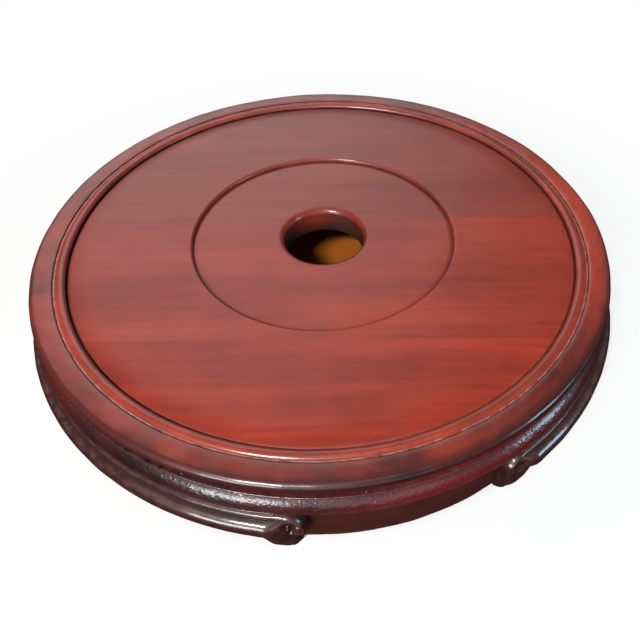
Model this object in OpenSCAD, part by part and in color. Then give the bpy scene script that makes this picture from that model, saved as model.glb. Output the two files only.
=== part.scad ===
// Low round hardwood stand: a panel of edge-joined boards floats in a rim of four arcs,
// and stacked rings carry the rim on three scroll feet. Millimetres, +Z up.
// The origin is on the floor, under the centre of the hole. The front is -Y.

/* [Top] */
// Diameter of the sunk field, to the crease inside the rim
field_d = 252; // [220:1:300]
// Width of the raised lip and its ogee, from the crease out to the quirk
lip_w = 5.75; // [4.5:0.25:9]
// Width of the rounded band outside the quirk
band_w = 10.75; // [9.75:0.25:16]
// Height of the lip above the field
field_drop = 1; // [0.6:0.1:2]
// Depth of the quirk below the lip
quirk_h = 1; // [0.8:0.1:2]
// Rise of the rounded band above the bottom of the quirk
band_rise = 1.4; // [1.2:0.1:2.4]
// Radius of the rolled lower edge of the band
nose_r = 2.6; // [1.8:0.1:3]
// Height of the rim, from the moulding to the top of the lip
rim_h = 8.5; // [8.2:0.1:11]
// Depth of the waist, in from the edge of the band
waist_in = 6; // [5:0.1:6.6]
// Half angle of the lap where two rim arcs join
lap_half = 4; // [2:0.5:8]
// Diameter of the pin through each lap
pin_d = 3; // [2:0.1:3.4]

/* [Panel] */
// Thickness of the boards at the field
panel_t = 16; // [15:0.1:18]
// Open crease between the panel and the rim
crease_gap = 0.7; // [0.3:0.1:1.5]
// Length of the panel's tongue past the crease
tongue_l = 3.4; // [2:0.1:3.8]
// Thickness of the panel's tongue
tongue_t = 2.8; // [2:0.1:3.2]
// Depth of the tongue's upper face below the field
tongue_drop = 2.3; // [2:0.1:2.7]
// Diameter of the sunk seat, to its crease
seat_d = 132; // [100:1:150]
// Depth of the seat below the field
seat_drop = 2; // [1:0.1:3]
// Width of the ogee that leads down to the seat
seat_ogee_w = 5; // [3:0.1:8]
// Diameter of the centre hole
hole_d = 41; // [25:0.5:60]
// Radius that eases the top edge of the hole
hole_ease = 3; // [1:0.1:4]
// Place of the joint between the back and middle boards, behind the centre
back_joint_y = 11; // [0:0.5:30]
// Width of the middle board
middle_w = 83; // [60:1:100]
// Size of the tongue along the board joints
joint_tongue = 4; // [3:0.1:5]
// Turn of the grain against the feet
panel_turn = -15; // [-45:1:45]

/* [Battens] */
// Distance of each batten from the centre
batten_x = 60; // [45:1:75]
// Width of a batten
batten_w = 22; // [18:1:28]
// Height of a batten below the panel
batten_h = 8; // [5:0.5:10]
// Width of the dovetail where it enters the panel
dovetail_w = 12; // [8:0.5:14]
// Widening of the dovetail on each side
dovetail_flare = 1.6; // [0.8:0.1:2.4]
// Height of the dovetail
dovetail_h = 4.5; // [3:0.1:5]

/* [Rings] */
// Height of the torus moulding under the waist
moulding_h = 10.5; // [8:0.5:15]
// Reach of the torus past the edge of the band
moulding_out = 2.5; // [1:0.1:4]
// Projection of the torus from its fillets
torus_out = 3.6; // [2.5:0.1:5]
// Height of the fillets above and below the torus
fillet_h = 0.8; // [0.6:0.1:1.6]
// Turn of the moulding's joints against the rim's joints
moulding_turn = -17.5; // [-30:0.5:-8]
// Height of the apron ring
apron_h = 28; // [25:0.5:34]
// Depth of the apron's face, in from the edge of the band
apron_in = 2.8; // [2:0.1:4]
// Thickness of the apron and moulding rings at the apron's face
ring_t = 11; // [9.5:0.5:14]
// Diameter of the dowels that pin the rings together
ring_dowel_d = 4; // [3:0.1:4.4]

/* [Feet] */
// Clearance of the apron above the floor
foot_rise = 2.5; // [2:0.1:4]
// Angle that a foot spans, between the ends of its scrolls
foot_span = 87; // [76:1:96]
// Projection of the foot's roll from the apron's face
foot_out = 9.9; // [9:0.1:12]
// Radius of the roll along the foot
roll_r = 5; // [4:0.1:5.4]
// Radius of the scroll at each end
scroll_r = 10; // [8.5:0.1:11]
// Length of the pad under each scroll
pad_l = 8; // [6:0.1:12]
// Rise of the foot's lower edge between the pads
arch_rise = 4.5; // [4:0.1:6]
// Reach of the pad under the apron
ledge_w = 8; // [5:0.1:9]
// Diameter of the dowels that hold the foot to the apron
foot_dowel_d = 5; // [4:0.1:6]
// Angle of the foot dowels from the middle of the foot
foot_dowel_turn = 28; // [27:1:33]

/* [Fits] */
// Clearance around a dowel or pin
dowel_gap = 0.1; // [0.05:0.05:0.2]
// Clearance past the end of a dowel or tongue
end_gap = 0.4; // [0.2:0.1:0.6]
// Clearance along the sides of a sliding joint
slide_gap = 0.15; // [0.1:0.05:0.3]
// Thickness of a glue line between curved faces
glue_line = 0.1; // [0.05:0.05:0.2]

/* [Hidden] */
$fn = 144;
// Steps of a curve in a turned section
curve_steps = 10;
// Spare length of a cutting solid past the face that it cuts
past = 1;
QUARTERS = 4;
quarter = 360 / QUARTERS;
FEET = 3;
third = 360 / FEET;
// Turn of the whole stand, which sets a gap between two feet a little to the right of the front
front_turn = 11.5;

field_r = field_d / 2;
quirk_r = field_r + lip_w;
rim_r = quirk_r + band_w;
waist_r = rim_r - waist_in;
torus_r = rim_r + moulding_out;
apron_r = rim_r - apron_in;
ring_inner_r = apron_r - ring_t;

apron_top = foot_rise + apron_h;
moulding_top = apron_top + moulding_h;
rim_top = moulding_top + rim_h;
field_z = rim_top - field_drop;
panel_bottom = field_z - panel_t;
seat_z = field_z - seat_drop;
quirk_z = rim_top - quirk_h;
tongue_top = field_z - tongue_drop;
tongue_bottom = tongue_top - tongue_t;
groove_top = tongue_top + end_gap;
groove_r = field_r + tongue_l + end_gap;
lap_z = (tongue_bottom + groove_top) / 2;

// Wood left beyond the end of a blind dowel or pin
dowel_cover = 1;
// Dowels and pins stand in the middle of the wood between the groove and the waist
dowel_circle_r = (groove_r + waist_r) / 2;
dowel_top = quirk_z - dowel_cover;
ring_dowel_bottom = apron_top - 0.5 * apron_h;

middle_front_y = back_joint_y - middle_w;
foot_inner_r = apron_r + glue_line;
foot_top = apron_top - glue_line;
foot_outer_r = apron_r + foot_out;
// Depth of the drawn-in face behind the roll
face_in = 6.2;
foot_face_r = foot_outer_r - face_in;
// Centre of the roll, and the thin bead above it
roll_drop = 7.9;
roll_c = [foot_outer_r - roll_r, foot_top - roll_drop];
bead_r = 1.2;
bead_in = 5.4;
bead_drop = 1.5;
bead_c = [foot_outer_r - bead_in, foot_top - bead_drop];
// The dowels run from inside the apron into the thickest part of the roll
foot_dowel_z = roll_c.y;
foot_dowel_from = ring_inner_r + 3 * dowel_cover;
foot_dowel_to = foot_outer_r - 3 * dowel_cover;
// The scroll stands a little proud of the top edge, which cuts it flat
scroll_z = foot_top - 0.9 * scroll_r;
// Angle from the end of a foot in to the centre of its scroll
scroll_turn = 2 * asin(scroll_r / 2 / apron_r);
// Along the foot from the scroll's centre: the two ends of the pad, and the crown of the hook inside it
pad_outer_x = 0.7 * scroll_r;
pad_inner_x = pad_outer_x - pad_l;
hook_l = 1.6 * arch_rise;
crown_x = pad_inner_x - hook_l;
// Rise of the crown above the rest of the lower edge, and the length of the slope down from it
crown_rise = 0.8;
crown_slope_l = 12;
// Half angle of the level stretch of the lower edge, which starts part way down both slopes
level_turn = foot_span / 2 - scroll_turn - asin((crown_slope_l / 4 - crown_x) / apron_r);

WOOD = "#5a1713";
WOOD_DARK = "#3a0f0d";
WOOD_PLAIN = "#8a5a3a";
QUARTER_NAMES = ["front_right", "back_right", "back_left", "front_left"];
APRON_NAMES = ["front", "right", "left"];
FOOT_NAMES = ["right", "back", "left"];

// Points of an elliptical arc about c, with half axes rx and rz
function arc(c, rx, rz, from, to, steps = curve_steps) =
    [for (i = [0:steps])
        let (angle = from + (to - from) * i / steps)
        c + [rx * cos(angle), rz * sin(angle)]];

// Points of an ogee between two points, level at both ends
function ogee(a, b, steps = curve_steps) =
    [for (i = [0:steps]) [a.x + (b.x - a.x) * i / steps, a.y + (b.y - a.y) * (1 - cos(180 * i / steps)) / 2]];

// Points of the hollow waist, which flares a little at its foot and runs out under the band
function waist_curve(foot_flare = 1.2, deepest = 0.4, steps = curve_steps) =
    let (rise = quirk_z - nose_r - moulding_top, reach = rim_r - nose_r - waist_r)
    [for (i = [0:steps])
        let (u = i / steps, low = max(0, 1 - u / deepest), high = max(0, (u - deepest) / (1 - deepest)))
        [waist_r + foot_flare * pow(low, 2) + reach * pow(high, 2.5), moulding_top + u * rise]];

// First angle of a quarter, before the whole stand is turned
function quarter_start(k) = -90 + quarter * k;

// Angle in the middle of the gap before a foot, before the whole stand is turned
function gap_middle(k) = -90 + third * k;

// Turned section of the rim: band, quirk, lip, ogee and waist, with the groove for the panel
module rim_section() {
    lip_ease = 0.5;
    crown_w = 1.6;
    crease_sink = 0.4;
    quirk_turn = 155;
    difference() {
        polygon(concat(
            [[field_r, moulding_top]],
            waist_curve(),
            arc([rim_r - nose_r, quirk_z], nose_r, nose_r, -90, 0),
            arc([rim_r - band_w / 2, quirk_z], band_w / 2, band_rise, 0, quirk_turn),
            [[quirk_r, quirk_z]],
            arc([quirk_r - lip_ease, rim_top - lip_ease], lip_ease, lip_ease, 0, 90, 4),
            ogee([quirk_r - crown_w, rim_top], [field_r, field_z - crease_sink])));
        translate([field_r - past, tongue_bottom])
            square([groove_r - field_r + past, groove_top - tongue_bottom]);
    }
}

// The part of the rim's section above the lap, or below it
module rim_half(upper) {
    intersection() {
        rim_section();
        translate([0, upper ? lap_z : lap_z - 2 * rim_h])
            square([2 * rim_r, 2 * rim_h]);
    }
}

// One arc of the rim, half lapped onto its neighbours
module rim_arc(k) {
    color(WOOD)
    difference() {
        union() {
            rotate(quarter_start(k) + lap_half)
                rotate_extrude(angle = quarter)
                    rim_half(true);
            rotate(quarter_start(k) - lap_half)
                rotate_extrude(angle = quarter)
                    rim_half(false);
        }
        for (joint = [k, k + 1])
            rotate(quarter_start(joint))
                translate([dowel_circle_r, 0, moulding_top - past])
                    cylinder(d = pin_d + 2 * dowel_gap, h = dowel_top + end_gap - moulding_top + past);
        ring_dowel_holes();
    }
}

// Pins through the four laps of the rim
module rim_pins() {
    color(WOOD_PLAIN)
    for (k = [0:QUARTERS - 1])
        rotate(quarter_start(k))
            translate([dowel_circle_r, 0, moulding_top])
                cylinder(d = pin_d, h = dowel_top - moulding_top);
}

// Turned section of the whole panel, from the hole out to the tip of the tongue
module panel_section() {
    edge_ease = 0.8;
    hole_r = hole_d / 2;
    edge_r = field_r - crease_gap;
    seat_r = seat_d / 2;
    polygon(concat(
        [[hole_r, panel_bottom], [edge_r, panel_bottom], [edge_r, tongue_bottom]],
        [[field_r + tongue_l, tongue_bottom], [field_r + tongue_l, tongue_top], [edge_r, tongue_top]],
        arc([edge_r - edge_ease, field_z - edge_ease], edge_ease, edge_ease, 0, 90, 4),
        ogee([seat_r + seat_ogee_w, field_z], [seat_r, seat_z]),
        arc([hole_r + hole_ease, seat_z - hole_ease], hole_ease, hole_ease, 90, 180, 6)));
}

// Edge profile of a board, with a tongue on its back edge and a groove in its front edge
module board_profile(front, back, grooved, tongued) {
    mid_z = (panel_bottom + seat_z) / 2;
    reach = field_r + 2 * tongue_l;
    difference() {
        union() {
            translate([grooved ? front : -reach, panel_bottom - past])
                square([(tongued ? back : reach) - (grooved ? front : -reach), panel_t + 2 * past]);
            if (tongued)
                translate([back - past, mid_z - joint_tongue / 2])
                    square([joint_tongue + past, joint_tongue]);
        }
        if (grooved)
            translate([front - past, mid_z - joint_tongue / 2 - slide_gap])
                square([joint_tongue + end_gap + past, joint_tongue + 2 * slide_gap]);
    }
}

// Section of a batten and its dovetail; gap widens it into the slot
module batten_section(gap = 0) {
    half = dovetail_w / 2 + gap;
    sink = gap > 0 ? past : 0;
    polygon([
        [-half, panel_bottom - sink], [half, panel_bottom - sink], [half, panel_bottom],
        [half + dovetail_flare, panel_bottom + dovetail_h + gap],
        [-half - dovetail_flare, panel_bottom + dovetail_h + gap], [-half, panel_bottom]]);
}

// One board of the panel, cut from the turned disc and slotted for the battens
module board(front, back, grooved, tongued) {
    span = 4 * field_r;
    rotate(panel_turn)
    difference() {
        intersection() {
            rotate_extrude()
                panel_section();
            rotate([90, 0, 90])
                translate([0, 0, -span / 2])
                    linear_extrude(span)
                        board_profile(front, back, grooved, tongued);
        }
        for (side = [-1, 1])
            translate([side * batten_x, span / 2, 0])
                rotate([90, 0, 0])
                    linear_extrude(span)
                        batten_section(slide_gap);
    }
}

module back_board() {
    color(WOOD) board(back_joint_y, 0, true, false);
}

module middle_board() {
    color(WOOD) board(middle_front_y, back_joint_y, true, true);
}

module front_board() {
    color(WOOD) board(0, middle_front_y, false, true);
}

// Batten that keeps the boards flat, slid into its dovetail slot from the edge
module batten(side) {
    end_clear = 2;
    half_l = sqrt(pow(field_r, 2) - pow(batten_x + batten_w / 2, 2)) - end_clear;
    color(WOOD_PLAIN)
    rotate(panel_turn)
    translate([side * batten_x, half_l, 0])
    rotate([90, 0, 0])
    linear_extrude(2 * half_l)
    union() {
        batten_section();
        translate([-batten_w / 2, panel_bottom - batten_h])
            square([batten_w, batten_h]);
    }
}

// Turned section of the torus moulding, with a fillet above and below the torus
module moulding_section() {
    torus_turn = 80;
    torus_c = [torus_r - torus_out, apron_top + moulding_h / 2];
    torus_h = moulding_h / 2 - fillet_h;
    lower_r = torus_c.x + 1.9;
    upper_r = torus_c.x + 0.6;
    polygon(concat(
        [[ring_inner_r, apron_top], [lower_r, apron_top], [lower_r, apron_top + fillet_h]],
        arc(torus_c, torus_out, torus_h, -torus_turn, torus_turn, 2 * curve_steps),
        [[upper_r, moulding_top - fillet_h], [upper_r, moulding_top], [ring_inner_r, moulding_top]]));
}

// One arc of the torus moulding
module moulding(k) {
    color(WOOD)
    difference() {
        rotate(quarter_start(k) + moulding_turn)
            rotate_extrude(angle = quarter)
                moulding_section();
        ring_dowel_holes();
    }
}

// Turned section of the plain apron, with its lower edge eased
module apron_section() {
    ease = 0.6;
    polygon(concat(
        [[ring_inner_r, foot_rise]],
        arc([apron_r - ease, foot_rise + ease], ease, ease, -90, 0, 4),
        [[apron_r, apron_top], [ring_inner_r, apron_top]]));
}

// One arc of the apron, which runs from the middle of one foot to the middle of the next
module apron(k) {
    color(WOOD_DARK)
    difference() {
        rotate(gap_middle(k) - third / 2)
            rotate_extrude(angle = third)
                apron_section();
        ring_dowel_holes();
        foot_dowel_holes();
    }
}

// Places of the dowels through the rings, two to each quarter
module at_ring_dowels() {
    for (i = [0:2 * QUARTERS - 1])
        rotate(quarter / 4 + i * quarter / 2)
            translate([dowel_circle_r, 0, 0])
                children();
}

module ring_dowel_holes() {
    at_ring_dowels()
        translate([0, 0, ring_dowel_bottom - end_gap])
            cylinder(d = ring_dowel_d + 2 * dowel_gap, h = dowel_top - ring_dowel_bottom + 2 * end_gap);
}

// Dowels that pin the apron, the moulding and the rim together
module ring_dowels() {
    color(WOOD_PLAIN)
    at_ring_dowels()
        translate([0, 0, ring_dowel_bottom])
            cylinder(d = ring_dowel_d, h = dowel_top - ring_dowel_bottom);
}

// Places of the dowels through the feet, with +Z pointing outwards
module at_foot_dowels() {
    for (k = [0:FEET - 1], side = [-1, 1])
        rotate(gap_middle(k) + third / 2 + side * foot_dowel_turn)
            translate([0, 0, foot_dowel_z])
                rotate([0, 90, 0])
                    children();
}

module foot_dowel_holes() {
    at_foot_dowels()
        translate([0, 0, foot_dowel_from - end_gap])
            cylinder(d = foot_dowel_d + 2 * dowel_gap, h = foot_dowel_to - foot_dowel_from + 2 * end_gap);
}

// Dowels that hold each foot to the two apron arcs behind it
module foot_dowels() {
    color(WOOD_PLAIN)
    at_foot_dowels()
        translate([0, 0, foot_dowel_from])
            cylinder(d = foot_dowel_d, h = foot_dowel_to - foot_dowel_from);
}

// Section of a foot: a roll under a thin bead, a drawn-in face below them and the pad's ledge
module foot_section() {
    cove_h = 5;
    polygon(concat(
        [[apron_r - ledge_w, 0], [foot_face_r, 0], [foot_face_r, roll_c.y - roll_r - cove_h]],
        arc(roll_c, roll_r, roll_r, -55, 115, 16),
        arc(bead_c, bead_r, bead_r, -30, 120, 8),
        [[foot_inner_r, foot_top], [foot_inner_r, foot_rise - glue_line]],
        [[apron_r - ledge_w, foot_rise - glue_line]]));
}

// Runs its children at one end of a foot: x along the foot from the scroll's centre, z outwards
module at_foot_end(side) {
    rotate(side * (foot_span / 2 - scroll_turn))
        translate([0, 0, scroll_z])
            rotate([90, 0, 90])
                mirror([side > 0 ? 0 : 1, 0, 0])
                    children();
}

// Everything that lies outside the scroll and the pad at one end of a foot
module end_waste(side) {
    upper_turn = 75;
    lower_turn = -35;
    clear_x = 3 * scroll_r;
    floor_z = -scroll_z;
    slope_x = crown_x - crown_slope_l;
    at_foot_end(side)
        linear_extrude(2 * rim_r) {
            polygon(concat(
                [[scroll_r * cos(upper_turn), scroll_r + past]],
                arc([0, 0], scroll_r, scroll_r, upper_turn, lower_turn, 14),
                [[pad_outer_x, floor_z], [pad_outer_x, floor_z - past]],
                [[clear_x, floor_z - past], [clear_x, scroll_r + past]]));
            polygon(concat(
                [[pad_inner_x, floor_z - past]],
                arc([crown_x, floor_z], hook_l, arch_rise + crown_rise, 0, 90, 8),
                [[slope_x, floor_z + arch_rise - crown_rise], [slope_x, floor_z - past]]));
        }
}

// The channel above the roll, carried round the eye of the scroll
module scroll_channel(side) {
    cut_r = 1.3;
    channel_r = 0.54 * scroll_r;
    channel_start = -140;
    channel_sweep = 230;
    at_foot_end(side)
        rotate([0, 0, channel_start])
            translate([0, 0, foot_outer_r])
                rotate_extrude(angle = channel_sweep)
                    translate([channel_r, 0])
                        circle(cut_r);
}

// One scroll foot, seated against the apron and under its edge
module foot(k) {
    boss_r = 0.8 * scroll_r;
    boss_sink = 0.5;
    boss_from = foot_inner_r + past;
    end_spare = 3;
    color(WOOD)
    difference() {
        rotate(gap_middle(k) + third / 2)
        difference() {
            union() {
                rotate(-foot_span / 2 - end_spare)
                    rotate_extrude(angle = foot_span + 2 * end_spare)
                        foot_section();
                for (side = [-1, 1])
                    at_foot_end(side)
                        translate([0, 0, boss_from])
                            cylinder(r = boss_r, h = foot_outer_r - boss_sink - boss_from);
            }
            rotate(-level_turn)
                rotate_extrude(angle = 2 * level_turn)
                    translate([ring_inner_r - past, -past])
                        square([ring_t + foot_out + 2 * past, arch_rise + past]);
            for (side = [-1, 1]) {
                end_waste(side);
                scroll_channel(side);
            }
        }
        foot_dowel_holes();
    }
}

rotate(front_turn) {
    back_board();
    middle_board();
    front_board();
    batten(-1);  // batten_left
    batten(1);  // batten_right
    for (k = [0:QUARTERS - 1]) {
        rim_arc(k);
        moulding(k);
    }
    for (k = [0:FEET - 1]) {
        apron(k);
        foot(k);
    }
    rim_pins();
    ring_dowels();
    foot_dowels();
}
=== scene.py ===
"""Looks of a low round hardwood stand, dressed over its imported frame.

The classes of the stand hold sizes in millimetres and angles in degrees, counted from its own front.
Fitter turns the pieces to their place in the frame. The studio's sizes are in metres.
"""

import logging
import math
from dataclasses import dataclass, field, replace
from enum import Enum

import bmesh
import bpy
import numpy as np
from mathutils import Euler, Matrix, Vector


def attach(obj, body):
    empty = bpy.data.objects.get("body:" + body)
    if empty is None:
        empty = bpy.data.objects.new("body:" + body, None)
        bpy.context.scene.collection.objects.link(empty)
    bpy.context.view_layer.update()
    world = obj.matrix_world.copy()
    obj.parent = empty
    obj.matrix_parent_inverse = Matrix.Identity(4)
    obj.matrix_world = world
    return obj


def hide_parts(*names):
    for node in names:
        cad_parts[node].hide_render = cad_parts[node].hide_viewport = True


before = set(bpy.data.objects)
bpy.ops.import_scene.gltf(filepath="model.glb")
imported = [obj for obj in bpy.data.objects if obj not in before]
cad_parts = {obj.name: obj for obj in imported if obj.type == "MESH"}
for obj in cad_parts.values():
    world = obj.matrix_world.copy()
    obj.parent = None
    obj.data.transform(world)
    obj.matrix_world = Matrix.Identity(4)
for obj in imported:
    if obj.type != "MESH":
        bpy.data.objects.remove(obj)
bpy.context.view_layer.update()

MM = 0.001
FRONT_TURN = 11.5
ALONG_ARC = 90.0
QUARTER_SWEEP = 90.0
THIRD_SWEEP = 120.0
LOG = logging.getLogger("stand")
Pair = tuple[float, float]
Triple = tuple[float, float, float]
Oval = tuple[float, float, float, float]
Colour = Triple


class Place(Enum):
    """A place round the stand, by the angle in its middle."""

    @property
    def piece(self) -> str:
        """The place as a part of a piece's name."""
        return self.name.lower()

    @property
    def words(self) -> str:
        """The place in plain words."""
        return self.piece.replace("_", " ")


class Quarter(Place):
    """The four quarters of the rings."""

    FRONT_RIGHT = -45.0
    BACK_RIGHT = 45.0
    BACK_LEFT = 135.0
    FRONT_LEFT = 225.0


class Gap(Place):
    """The three plain stretches of the apron."""

    FRONT = -90.0
    RIGHT = 30.0
    LEFT = 150.0


class Foot(Place):
    """The three feet."""

    RIGHT = -30.0
    BACK = 90.0
    LEFT = 210.0


class Mark(Enum):
    """Painted values that ride on the points of a mesh and steer its finish."""

    # The rubbed value also carries painted sheen. The dark one carries painted shade in creases, hollows and
    # under the mouldings. The tone carries painted shade under the rim's band, round the hole and on the
    # moulding's right side.
    WEAR = "wear"
    GRIME = "grime"
    TONE = "tone"


def arc(centre: Pair, half: Pair, start: float, end: float, steps: int) -> np.ndarray:
    """Points of an elliptical arc in a turned section.

    Args:
        centre: radius and height of the centre.
        half: half axes along the radius and the height.
        start: first angle in degrees.
        end: last angle in degrees.
        steps: spans along the arc.

    Returns:
        An array of radius and height, one row a point.
    """
    turn = np.radians(np.linspace(start, end, steps + 1))
    return np.stack([centre[0] + half[0] * np.cos(turn), centre[1] + half[1] * np.sin(turn)], 1)


def ogee(start: Pair, end: Pair, steps: int) -> np.ndarray:
    """Points of an ogee, level at both ends.

    Args:
        start: radius and height of the first point.
        end: radius and height of the last point.
        steps: spans along the curve.

    Returns:
        An array of radius and height, one row a point.
    """
    share = np.linspace(0.0, 1.0, steps + 1)
    radius = start[0] + (end[0] - start[0]) * share
    height = start[1] + (end[1] - start[1]) * (1.0 - np.cos(np.pi * share)) / 2.0
    return np.stack([radius, height], 1)


def line(start: Pair, end: Pair, steps: int) -> np.ndarray:
    """Points of a straight run between two points of a section."""
    return np.linspace(np.array(start, float), np.array(end, float), steps + 1)


def bell(value: np.ndarray, centre: float, width: float) -> np.ndarray:
    """A smooth bump of height 1 about a centre, that is a third high at the given width."""
    return np.exp(-(((value - centre) / width) ** 2))


def around(turn: np.ndarray, centre: float, width: float) -> np.ndarray:
    """A smooth bump about an angle in degrees, measured the short way round."""
    return bell((turn - centre + 180.0) % 360.0 - 180.0, 0.0, width)


def smooth(value: np.ndarray, low: float, high: float) -> np.ndarray:
    """A smooth step from 0 at low to 1 at high."""
    share = np.clip((value - low) / (high - low), 0.0, 1.0)
    return share * share * (3.0 - 2.0 * share)


def patches(turn: np.ndarray, spots: tuple[Triple, ...]) -> np.ndarray:
    """The sum of several bumps round a ring, each an amount, an angle and a width."""
    return sum(amount * bell(turn, centre, width) for amount, centre, width in spots)


def crease_shade(turn: np.ndarray) -> np.ndarray:
    """How much painted shade darkens the crease between panel and rim round the ring, least near the front.
    """
    lost, centre, width = 0.75, -75.0, 60.0
    return 1.0 - lost * around(turn, centre, width)


def ripple(turn: np.ndarray, across: np.ndarray, seed: int, waves: int = 9) -> np.ndarray:
    """Gentle unevenness of hand work, as a sum of waves.

    Args:
        turn: angle of each point in radians.
        across: place of each point across the section, in millimetres.
        seed: number that picks the waves.
        waves: how many waves are summed.

    Returns:
        One height a point, with a spread of about 1.
    """
    pick = np.random.default_rng(seed)
    total = np.zeros(np.broadcast_shapes(turn.shape, across.shape))
    for _ in range(waves):
        count = pick.integers(3, 70)
        over = pick.uniform(-0.5, 0.5)
        total += np.sin(count * turn + over * across + pick.uniform(0.0, 6.28)) * pick.uniform(0.3, 1.0)
    return total / math.sqrt(waves / 2.0)


def dim(colour: Colour, share: float) -> Colour:
    """A colour at a share of its brightness."""
    return tuple(share * channel for channel in colour)


def hang(name: str, data: bpy.types.ID) -> bpy.types.Object:
    """Make an object of a mesh, light or camera, and link it to the scene.

    Args:
        name: name of the new object.
        data: what it shows.

    Returns:
        The new object.
    """
    made = bpy.data.objects.new(name, data)
    bpy.context.scene.collection.objects.link(made)
    return made


class Carver:
    """Makes meshes from rings of points and marks their points."""

    @staticmethod
    def loft(name: str, columns: np.ndarray, closed: bool) -> bpy.types.Object:
        """Skin a row of closed loops of points.

        Args:
            name: name of the new object.
            columns: points in millimetres, as columns by points by three.
            closed: whether the last column joins the first.

        Returns:
            The new object, linked to the scene.
        """
        count, rows = columns.shape[:2]
        index = np.arange(count * rows).reshape(count, rows)
        after = np.roll(index, -1, 0) if closed else index[1:]
        before = index if closed else index[:-1]
        quads = np.stack([before, after, np.roll(after, -1, 1), np.roll(before, -1, 1)], -1).reshape(-1, 4)
        faces = [tuple(q) for q in quads.tolist()]
        if not closed:
            faces += [tuple(index[0].tolist()), tuple(reversed(index[-1].tolist()))]
        mesh = bpy.data.meshes.new(name)
        mesh.from_pydata((columns.reshape(-1, 3) * MM).tolist(), [], faces)
        return hang(name, mesh)

    @staticmethod
    def turned(name: str, section: np.ndarray, start: float, sweep: float, steps: int,
               skin: np.ndarray | None = None, uneven: float = 0.0, seed: int = 0) -> bpy.types.Object:
        """Sweep a closed section round the axis.

        Args:
            name: name of the new object.
            section: radius and height of the section's points, in order round it.
            start: first angle in degrees.
            sweep: angle swept in degrees, 360 for a whole ring.
            steps: spans round the sweep.
            skin: share of the unevenness at each point, 0 on faces that meet others, None for an even piece.
            uneven: height of the unevenness in millimetres.
            seed: number that picks the unevenness.

        Returns:
            The new object.
        """
        whole = sweep >= 360.0
        turn = np.radians(start + np.linspace(0.0, sweep, steps + 1))
        turn = turn[:-1] if whole else turn
        lift = np.zeros((len(turn), len(section)))
        if skin is not None:
            across = np.cumsum(np.linalg.norm(np.diff(section, axis=0, prepend=section[:1]), axis=1))
            lift = uneven * skin[None, :] * ripple(turn[:, None], across[None, :], seed)
        run = np.roll(section, -1, 0) - np.roll(section, 1, 0)
        outward = np.stack([run[:, 1], -run[:, 0]], 1) / (np.linalg.norm(run, axis=1, keepdims=True) + 1e-9)
        radius = section[None, :, 0] + lift * outward[None, :, 0]
        height = section[None, :, 1] + lift * outward[None, :, 1]
        points = np.stack([radius * np.cos(turn)[:, None], radius * np.sin(turn)[:, None], height], -1)
        return Carver.loft(name, points, whole)

    @staticmethod
    def join(name: str, parts: list[bpy.types.Object]) -> bpy.types.Object:
        """Merge several new objects into one mesh.

        Args:
            name: name of the merged object.
            parts: the objects, which are used up.

        Returns:
            The merged object.
        """
        work = bmesh.new()
        for part in parts:
            work.from_mesh(part.data)
        mesh = bpy.data.meshes.new(name)
        work.to_mesh(mesh)
        work.free()
        for part in parts:
            bpy.data.objects.remove(part)
        return hang(name, mesh)

    @staticmethod
    def settle(made: bpy.types.Object, crisp: float = 32.0) -> None:
        """Point the faces outwards, and shade them smooth up to an angle.

        Args:
            made: the object.
            crisp: angle in degrees above which an edge stays crisp.
        """
        work = bmesh.new()
        work.from_mesh(made.data)
        bmesh.ops.remove_doubles(work, verts=work.verts, dist=1e-6)
        bmesh.ops.recalc_face_normals(work, faces=work.faces)
        work.to_mesh(made.data)
        work.free()
        made.data.shade_smooth()
        made.data.set_sharp_from_angle(angle=math.radians(crisp))

    @staticmethod
    def places(made: bpy.types.Object) -> np.ndarray:
        """Points of an object.

        Args:
            made: the object.

        Returns:
            An array in millimetres, one row a point.
        """
        flat = np.zeros(len(made.data.vertices) * 3)
        made.data.vertices.foreach_get("co", flat)
        return flat.reshape(-1, 3) / MM

    @staticmethod
    def polar(made: bpy.types.Object) -> tuple[np.ndarray, np.ndarray, np.ndarray]:
        """Radius, angle in degrees and height of each point of an object."""
        at = Carver.places(made)
        return np.hypot(at[:, 0], at[:, 1]), np.degrees(np.arctan2(at[:, 1], at[:, 0])), at[:, 2]

    @staticmethod
    def paint(made: bpy.types.Object, wear: np.ndarray, grime: np.ndarray, tone: np.ndarray) -> None:
        """Store the painted values on the points of an object.

        Args:
            made: the object.
            wear: how rubbed each point is, with painted sheen on the moulding's ledge.
            grime: painted shade in creases, hollows and under mouldings, and soiling, held from 0 to 1.
            tone: how much lighter each point is.
        """
        for mark, values in ((Mark.WEAR, wear), (Mark.GRIME, np.clip(grime, 0.0, 1.0)), (Mark.TONE, tone)):
            layer = made.data.attributes.new(mark.value, "FLOAT", "POINT")
            layer.data.foreach_set("value", np.ascontiguousarray(values, np.float32))


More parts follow.
